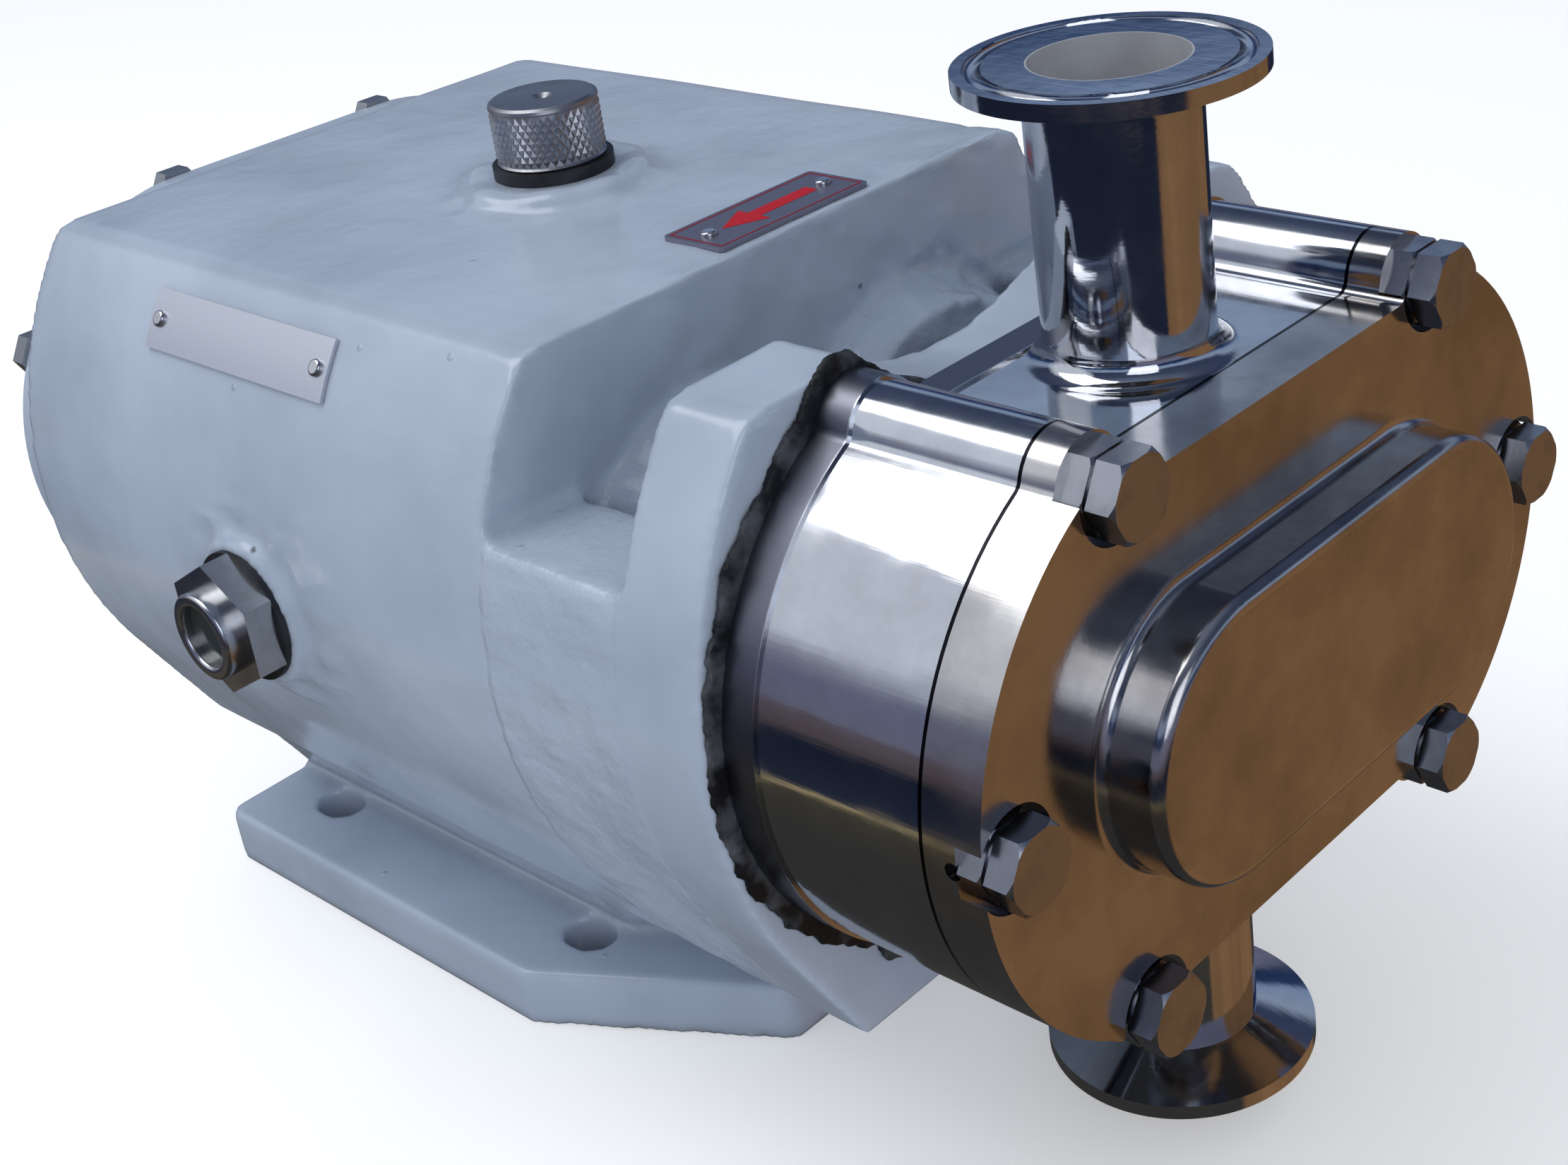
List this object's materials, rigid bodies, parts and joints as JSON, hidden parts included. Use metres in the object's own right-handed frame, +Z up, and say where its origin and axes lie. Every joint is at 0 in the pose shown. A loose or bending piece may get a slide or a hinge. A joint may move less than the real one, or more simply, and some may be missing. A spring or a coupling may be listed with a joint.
{
  "type": "rotary lobe pump",
  "caption": "Stainless rotary lobe pump with polished oval head, vertical clamp ports and an open lantern on a cast gearbox foot.",
  "frame": {"origin": "middle of the four foot slots on the foot's lower face", "axes": "+Z up through the top port, -Y towards the front cover, +Y along the drive shaft, +X across the two shafts"},
  "size_m": [0.1833, 0.3273, 0.2025],
  "materials": {
    "enamel": "glossy",
    "enamel_rear": "glossy",
    "black_joint": "matte",
    "zinc_steel": "satin",
    "seal_rubber": "matte",
    "polished_case": "polished",
    "polished_cover": "polished",
    "polished_tube": "polished",
    "stainless_bolt": "satin",
    "sight_steel": "satin",
    "sight_glass": "clear",
    "plate_aluminium": "satin",
    "rivet_steel": "satin",
    "knurled_steel": "satin",
    "bearing_steel": "satin",
    "carbon_seal": "matte",
    "shaft_steel": "ground",
    "gear_steel": "machined",
    "rotor_steel": "satin"
  },
  "bodies": {
    "pump_body": {"gearbox_housing": "enamel", "gearbox_foot": "enamel", "lantern_cradle": "enamel", "adapter_flange": "enamel", "rear_cover": "enamel_rear", "rear_cover_gasket": "black_joint", "rear_cover_bolts": "zinc_steel", "drain_plug": "zinc_steel", "rear_oil_seal": "seal_rubber", "adapter_gasket": "black_joint", "pump_case": "polished_case", "top_port": "polished_tube", "bottom_port": "polished_tube", "front_cover": "polished_cover", "cover_seal": "seal_rubber", "cover_bolts": "stainless_bolt", "cover_lock_nuts": "stainless_bolt", "sight_glass_body": "sight_steel", "sight_glass_lens": "sight_glass", "sight_glass_gasket": "black_joint", "arrow_plate": "plate_aluminium", "arrow_plate_rivets": "rivet_steel", "name_plate": "plate_aluminium", "name_plate_rivets": "rivet_steel", "drive_front_bearing": "bearing_steel", "drive_rear_bearing": "bearing_steel", "drive_front_oil_seal": "seal_rubber", "drive_shaft_seal_seat": "carbon_seal", "driven_front_bearing": "bearing_steel", "driven_rear_bearing": "bearing_steel", "driven_front_oil_seal": "seal_rubber", "driven_shaft_seal_seat": "carbon_seal"},
    "drive_train": {"drive_shaft": "shaft_steel", "drive_gear": "gear_steel", "drive_gear_key": "shaft_steel", "drive_gear_nut": "shaft_steel", "drive_rotor": "rotor_steel", "drive_rotor_nut": "stainless_bolt", "drive_shaft_seal_ring": "shaft_steel", "drive_shaft_seal_collar": "shaft_steel"},
    "driven_train": {"driven_shaft": "shaft_steel", "driven_gear": "gear_steel", "driven_gear_key": "shaft_steel", "driven_gear_nut": "shaft_steel", "driven_rotor": "rotor_steel", "driven_rotor_nut": "stainless_bolt", "driven_shaft_seal_ring": "shaft_steel", "driven_shaft_seal_collar": "shaft_steel"},
    "cap_washer": {"filler_cap_seal": "black_joint"},
    "cap": {"filler_cap": "knurled_steel"}
  },
  "joints": [
    {"name": "drive_spin", "type": "hinge", "parent": "pump_body", "child": "drive_train", "pos_m": [0.028, 0, 0.107], "axis": [0, 1, 0], "continuous": true},
    {"name": "driven_spin", "type": "hinge", "parent": "pump_body", "child": "driven_train", "pos_m": [-0.028, 0, 0.107], "axis": [0, 1, 0], "continuous": true},
    {"name": "cap_lift", "type": "slide", "parent": "pump_body", "child": "cap_washer", "axis": [0, 0, 1], "range_m": [0, 0.012]},
    {"name": "cap_turn", "type": "hinge", "parent": "cap_washer", "child": "cap", "pos_m": [0, -0.02, 0.167], "axis": [0, 0, 1], "range_deg": [0, 2178]}
  ],
  "couplings": [
    {"joint": "driven_spin", "follows": "drive_spin", "ratio": -1},
    {"joint": "cap_turn", "follows": "cap_lift", "rad_per_m": 3141.6}
  ]
}
